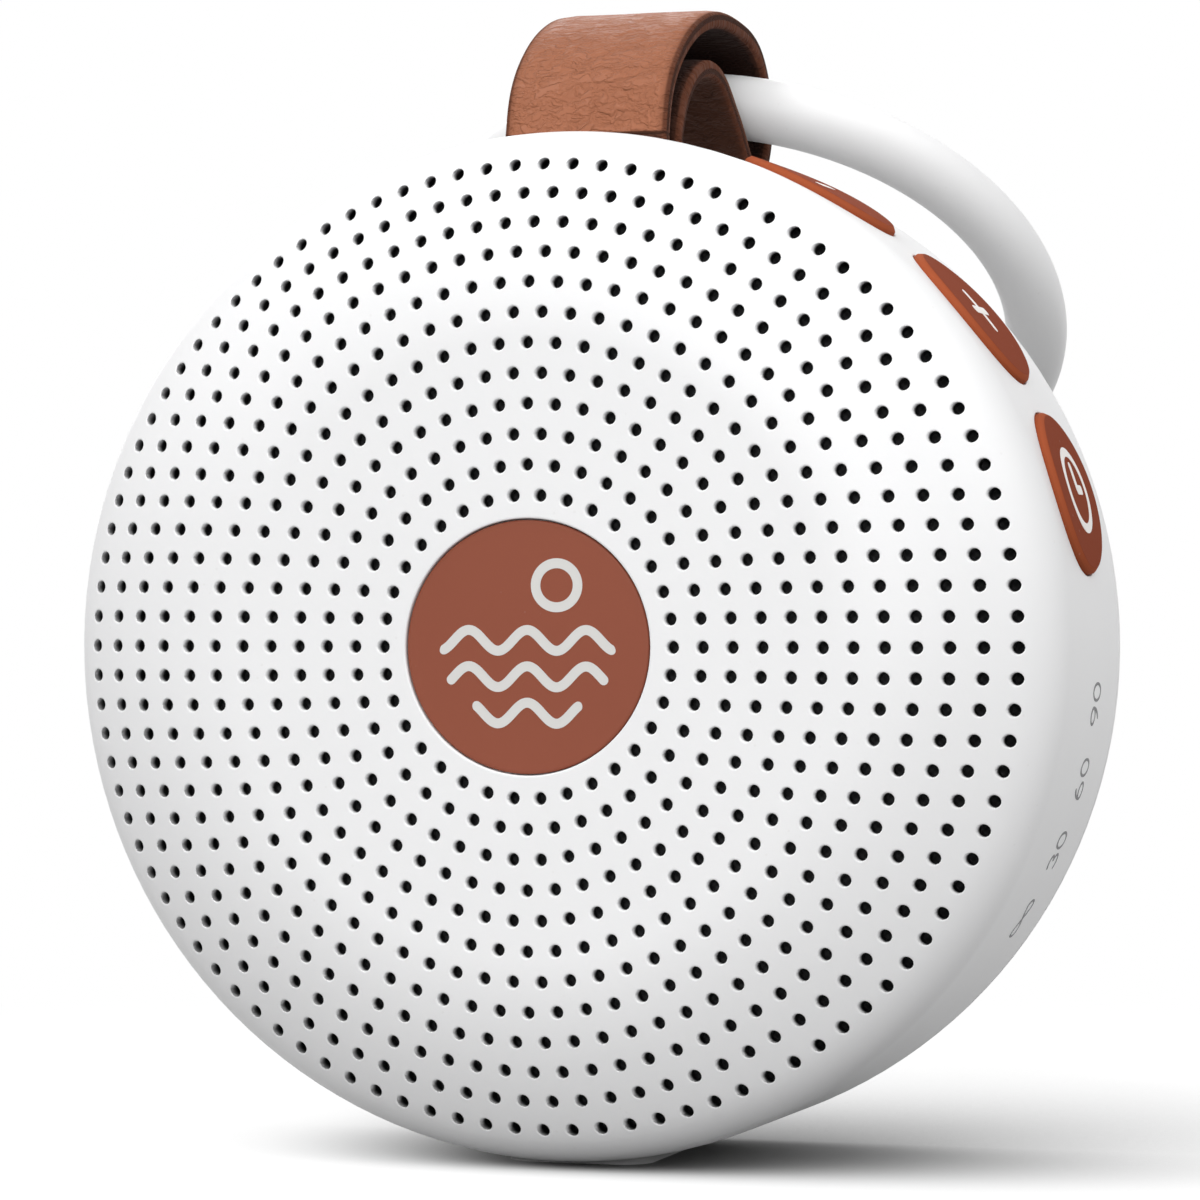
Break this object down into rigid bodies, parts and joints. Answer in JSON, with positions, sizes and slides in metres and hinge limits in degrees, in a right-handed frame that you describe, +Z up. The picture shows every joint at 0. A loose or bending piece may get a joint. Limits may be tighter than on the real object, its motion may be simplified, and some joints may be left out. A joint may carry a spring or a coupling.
{
  "type": "white noise sound machine",
  "caption": "Small round sound machine: perforated drum speaker with buttons on its rim, a leather loop and a hanging ring.",
  "frame": {"origin": "middle of the foot's underside, under the drum's axis", "axes": "+Z up, -Y the way the perforated front faces, +X to the right seen from the front"},
  "size_m": [0.0961, 0.1019, 0.1106],
  "materials": {
    "white_shell": "satin moulded white",
    "ring_white": "smooth white",
    "terracotta": "soft-touch terracotta",
    "leather": "tanned, pebbled",
    "cloth_black": "open weave",
    "rubber_grey": "matt",
    "rubber_black": "matt",
    "black_plastic": "moulded",
    "foam_black": "open-cell foam",
    "steel": "zinc plated",
    "ferrite": "sintered",
    "paper_cone": "pressed paper",
    "copper": "enamelled",
    "board_green": "solder mask",
    "polyimide": "film",
    "translucent": "frosted",
    "battery_wrap": "foil pouch",
    "wire_red": "insulated",
    "tape": "double sided"
  },
  "bodies": {
    "housing": {"front_cover": "white_shell", "emblem_plate": "terracotta", "acoustic_cloth": "cloth_black", "back_cover": "white_shell", "cover_screws": "steel", "rest_foot": "rubber_grey", "switch_bodies": "steel", "right_key_flex": "polyimide", "left_key_flex": "polyimide", "flex_connectors": "black_plastic", "timer_leds": "translucent", "timer_light_guide": "translucent", "speaker_baffle": "black_plastic", "baffle_screws": "steel", "speaker_screws": "steel", "speaker_basket": "steel", "speaker_top_plate": "steel", "speaker_magnet": "ferrite", "speaker_yoke": "steel", "speaker_surround": "rubber_black", "speaker_spider": "cloth_black", "foam_gasket": "foam_black", "terminal_strip": "black_plastic", "speaker_leads": "wire_red", "main_board": "board_green", "board_screws": "steel", "audio_chip": "black_plastic", "amplifier_chip": "black_plastic", "charger_chip": "black_plastic", "board_capacitors": "black_plastic", "usb_socket": "steel", "battery_cell": "battery_wrap", "battery_tape": "tape", "battery_connector": "black_plastic", "battery_leads": "wire_red", "strap_root": "leather", "strap_neck": "leather", "strap_pin": "steel"},
    "minus_key": {"minus_button": "terracotta", "minus_plunger": "black_plastic"},
    "plus_key": {"plus_button": "terracotta", "plus_plunger": "black_plastic"},
    "timer_key": {"timer_button": "terracotta", "timer_plunger": "black_plastic"},
    "power_key": {"power_button": "terracotta", "power_plunger": "black_plastic"},
    "cone": {"speaker_cone": "paper_cone", "speaker_voice_coil": "copper", "speaker_dust_cap": "paper_cone"},
    "strap": {"strap_loop": "leather"},
    "ring": {"carry_ring": "ring_white"}
  },
  "joints": [
    {"name": "minus_press", "type": "slide", "parent": "housing", "child": "minus_key", "axis": [-0.4617, 0, -0.887], "range_m": [0, 0.0005], "stiffness_N_per_m": 3000},
    {"name": "plus_press", "type": "slide", "parent": "housing", "child": "plus_key", "axis": [-0.7672, 0, -0.6414], "range_m": [0, 0.0005], "stiffness_N_per_m": 3000},
    {"name": "timer_press", "type": "slide", "parent": "housing", "child": "timer_key", "axis": [-0.9548, 0, -0.2974], "range_m": [0, 0.0005], "stiffness_N_per_m": 3000},
    {"name": "power_press", "type": "slide", "parent": "housing", "child": "power_key", "axis": [0.766, 0, -0.6428], "range_m": [0, 0.0005], "stiffness_N_per_m": 3000},
    {"name": "cone_travel", "type": "slide", "parent": "housing", "child": "cone", "axis": [0, 1, 0], "range_m": [-0.001, 0.001], "stiffness_N_per_m": 1500, "deforming": ["speaker_surround", "speaker_spider"]},
    {"name": "strap_flex", "type": "hinge", "parent": "housing", "child": "strap", "pos_m": [0, -0.0024, 0.0985], "axis": [1, 0, 0], "range_deg": [-5, 50], "stiffness_Nm_per_rad": 0.06, "deforming": ["strap_neck"]},
    {"name": "ring_swing", "type": "hinge", "parent": "strap", "child": "ring", "pos_m": [0, 0.02602, 0.10235], "axis": [1, 0, 0], "range_deg": [-50, 200]}
  ]
}
